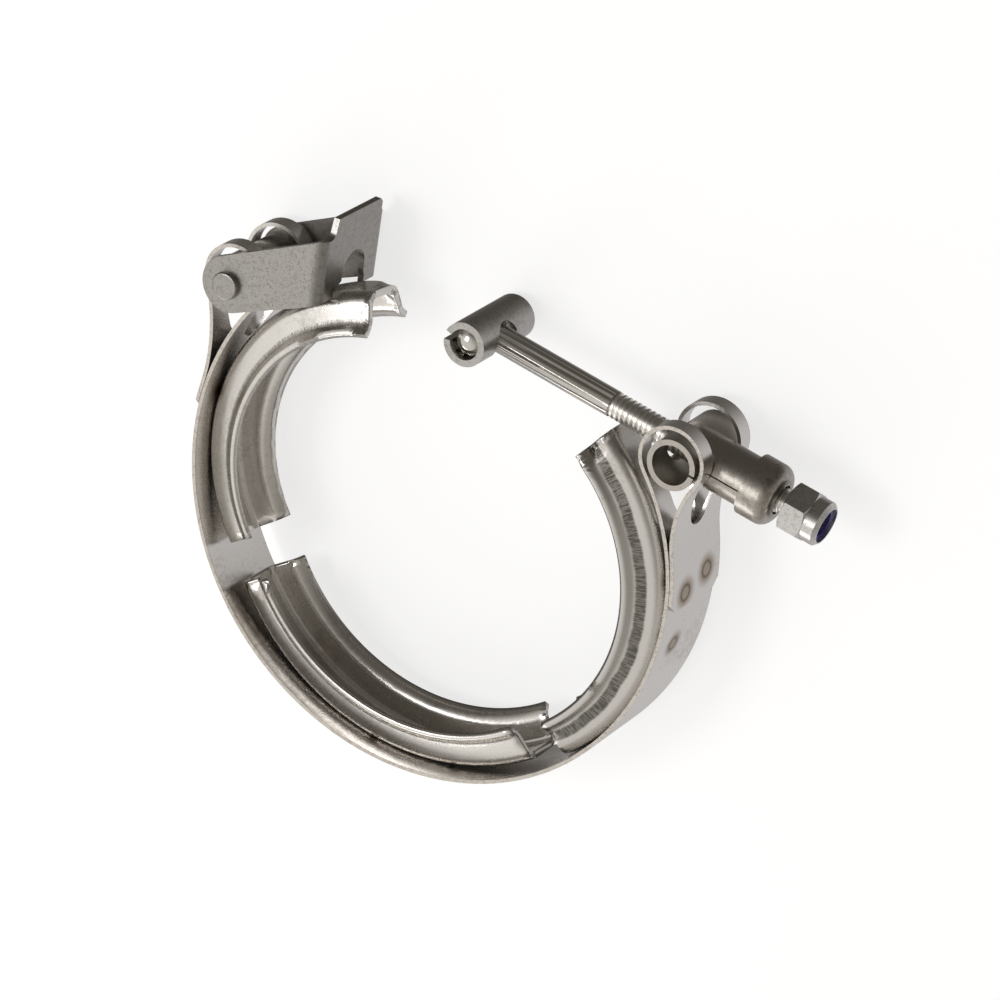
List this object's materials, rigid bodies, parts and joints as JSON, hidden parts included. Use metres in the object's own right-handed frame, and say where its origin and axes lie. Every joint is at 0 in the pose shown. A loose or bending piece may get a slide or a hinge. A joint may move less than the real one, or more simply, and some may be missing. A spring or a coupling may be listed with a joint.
{
  "type": "v band clamp",
  "caption": "Open sprung V band clamp with V section retainers, fold-over latch, formed trunnion, T-bolt and hexagon lock nut.",
  "frame": {"origin": "centre of the band's ring, in the band's middle plane", "axes": "+Z along the ring's axis, out of the clamp's upper side as it lies flat; +Y towards the open side, between the two loops; +X towards the T-bolt's loop"},
  "size_m": [0.1617, 0.1315, 0.0294],
  "materials": {
    "strap": "rolled satin strip",
    "retainer": "drawn, polished inside",
    "latch": "tumbled",
    "fitting": "formed satin",
    "bolt": "polished",
    "nylon": "dyed blue"
  },
  "bodies": {
    "strap": {"band": "strap", "retainer_left": "retainer", "retainer_lower": "retainer", "retainer_right": "retainer"},
    "latch": {"latch": "latch", "latch_pin": "bolt"},
    "spacer": {"latch_spacer": "fitting"},
    "trunnion": {"trunnion": "fitting", "trunnion_cap": "fitting"},
    "bolt": {"t_bolt": "bolt"},
    "sleeve": {"head_sleeve": "fitting"},
    "insert": {"nut_insert": "nylon"},
    "nut": {"lock_nut": "bolt"}
  },
  "joints": [
    {"name": "latch_pivot", "type": "hinge", "parent": "strap", "child": "latch", "pos_m": [-0.05137, 0.0485, 0], "axis": [0, 0, 1], "range_deg": [0, 200]},
    {"name": "spacer_spin", "type": "hinge", "parent": "latch", "child": "spacer", "pos_m": [-0.05137, 0.0485, 0], "axis": [0, 0, 1], "continuous": true},
    {"name": "trunnion_pivot", "type": "hinge", "parent": "strap", "child": "trunnion", "pos_m": [0.06339, 0.02734, 0], "axis": [0, 0, 1], "range_deg": [-20, 0.5]},
    {"name": "bolt_slide", "type": "slide", "parent": "trunnion", "child": "bolt", "axis": [0.9494, -0.314, 0], "range_m": [-0.0023, 0.026]},
    {"name": "sleeve_swivel", "type": "hinge", "parent": "bolt", "child": "sleeve", "pos_m": [0.01003, 0.04498, 0], "axis": [0, 0, 1], "range_deg": [-8, 8]},
    {"name": "nut_travel", "type": "slide", "parent": "bolt", "child": "insert", "axis": [-0.9494, 0.314, 0], "range_m": [-0.0052, 0.00233]},
    {"name": "nut_spin", "type": "hinge", "parent": "insert", "child": "nut", "pos_m": [0.0876, 0.01933, 0], "axis": [-0.9494, 0.314, 0], "range_deg": [-1440, 650]}
  ],
  "couplings": [
    {"joint": "nut_travel", "follows": "nut_spin", "m_per_rad": 0.00020213}
  ]
}
